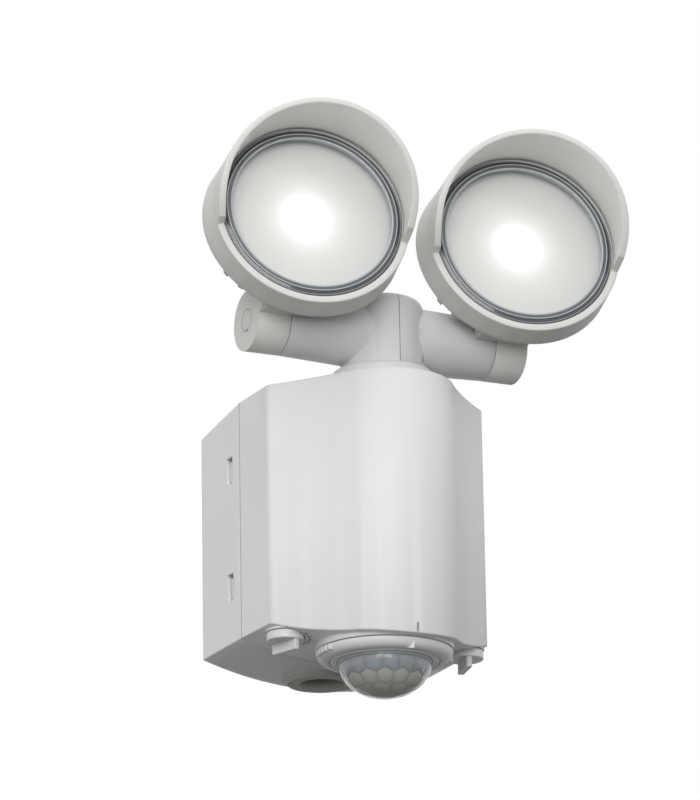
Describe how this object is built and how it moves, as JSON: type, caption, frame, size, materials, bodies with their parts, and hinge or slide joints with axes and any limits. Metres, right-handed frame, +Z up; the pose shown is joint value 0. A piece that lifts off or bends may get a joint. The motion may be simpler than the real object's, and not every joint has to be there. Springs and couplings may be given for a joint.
{
  "type": "motion sensor security light",
  "caption": "Grey wall-mounted security light with a hooded round lamp head on each side of a T-shaped post, over a housing with a domed motion sensor and two setting knobs beneath.",
  "frame": {"origin": "middle of the wall face, level with the housing's two bottom corners", "axes": "+Y into the wall, +Z up, +X to the right seen from the front; the front faces -Y"},
  "size_m": [0.1899, 0.1293, 0.2442],
  "materials": {
    "housing_grey": "gloss moulded",
    "post_grey": "satin moulded",
    "lamp_grey": "fine textured paint",
    "ring_dark": "gloss",
    "diffuser": "frosted",
    "dome_milk": "milky, faceted",
    "sensor_grey": "gloss moulded",
    "soft_rubber": "matt",
    "black_rubber": "matt",
    "zinc_steel": "zinc plated",
    "board_green": "circuit board",
    "board_white": "white circuit board",
    "can_metal": "plated can",
    "block_white": "moulded"
  },
  "bodies": {
    "housing": {"rear_housing": "housing_grey", "front_cover": "housing_grey", "cover_seal": "black_rubber", "cable_grommet": "soft_rubber", "terminal_block": "block_white", "driver_board": "board_green", "control_board": "board_green", "potentiometers": "block_white"},
    "hub": {"hub_shell_left": "post_grey", "hub_shell_right": "post_grey", "hub_screws": "zinc_steel", "swivel_clip": "zinc_steel"},
    "sensor": {"sensor_turret": "sensor_grey", "sensor_dome": "dome_milk", "dome_ring": "sensor_grey", "turret_clip": "sensor_grey", "sensor_board": "board_green", "pyro_sensor": "can_metal"},
    "time_dial": {"time_knob": "housing_grey"},
    "light_dial": {"light_knob": "housing_grey"},
    "bracket_body_left": {"bracket_left": "lamp_grey", "pivot_bolt_left": "zinc_steel", "friction_washer_left": "black_rubber", "knuckle_plug_left": "housing_grey", "pan_washer_left": "zinc_steel", "pan_screw_left": "zinc_steel"},
    "head_left": {"lamp_cup_left": "lamp_grey", "lens_ring_left": "ring_dark", "lens_left": "diffuser", "lens_seal_left": "black_rubber", "led_board_left": "board_white"},
    "bracket_body_right": {"bracket_right": "lamp_grey", "pivot_bolt_right": "zinc_steel", "friction_washer_right": "black_rubber", "knuckle_plug_right": "housing_grey", "pan_washer_right": "zinc_steel", "pan_screw_right": "zinc_steel"},
    "head_right": {"lamp_cup_right": "lamp_grey", "lens_ring_right": "ring_dark", "lens_right": "diffuser", "lens_seal_right": "black_rubber", "led_board_right": "board_white"}
  },
  "joints": [
    {"name": "hub_swivel", "type": "hinge", "parent": "housing", "child": "hub", "pos_m": [0, -0.075, 0.1296], "axis": [0, 0, 1], "range_deg": [-30, 30]},
    {"name": "tilt_left", "type": "hinge", "parent": "hub", "child": "bracket_body_left", "pos_m": [-0.0502, -0.075, 0.1296], "axis": [1, 0, 0], "range_deg": [-35, 20]},
    {"name": "pan_left", "type": "hinge", "parent": "bracket_body_left", "child": "head_left", "pos_m": [-0.0502, -0.075, 0.1296], "axis": [0, -0.766, 0.6428], "range_deg": [-10, 45]},
    {"name": "tilt_right", "type": "hinge", "parent": "hub", "child": "bracket_body_right", "pos_m": [0.0502, -0.075, 0.1296], "axis": [1, 0, 0], "range_deg": [-35, 20]},
    {"name": "pan_right", "type": "hinge", "parent": "bracket_body_right", "child": "head_right", "pos_m": [0.0502, -0.075, 0.1296], "axis": [0, -0.766, 0.6428], "range_deg": [-30, 34]},
    {"name": "sensor_swivel", "type": "hinge", "parent": "housing", "child": "sensor", "pos_m": [0, -0.072, -0.0112], "axis": [0, 0, 1], "range_deg": [-45, 45]},
    {"name": "time_turn", "type": "hinge", "parent": "housing", "child": "time_dial", "pos_m": [0.042, -0.0634, -0.005], "axis": [0, 0, 1], "range_deg": [-135, 135]},
    {"name": "light_turn", "type": "hinge", "parent": "housing", "child": "light_dial", "pos_m": [-0.042, -0.0634, -0.005], "axis": [0, 0, 1], "range_deg": [-135, 135]}
  ]
}
